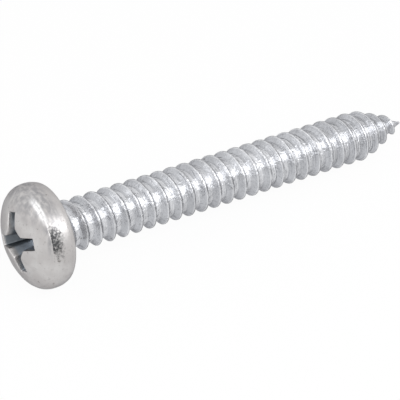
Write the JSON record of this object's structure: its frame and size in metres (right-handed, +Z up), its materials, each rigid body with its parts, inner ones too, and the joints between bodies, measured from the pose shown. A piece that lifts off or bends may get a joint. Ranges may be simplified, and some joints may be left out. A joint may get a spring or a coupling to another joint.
{
  "type": "sheet metal screw",
  "caption": "Zinc plated sheet metal screw with a pan head, a cross recess, a coarse spaced thread and a sharp gimlet point, lying on its side.",
  "frame": {"origin": "on the floor, below the middle of the screw's length and width as it lies at rest", "axes": "+X along the lying screw from head to point, its axis dipping 3.9 degrees towards the point; +Y to the side; +Z up"},
  "size_m": [0.055, 0.0122, 0.0122],
  "materials": {
    "zinc_plated_steel": "satin bright zinc"
  },
  "bodies": {
    "root": {"screw": "zinc_plated_steel"}
  },
  "joints": []
}
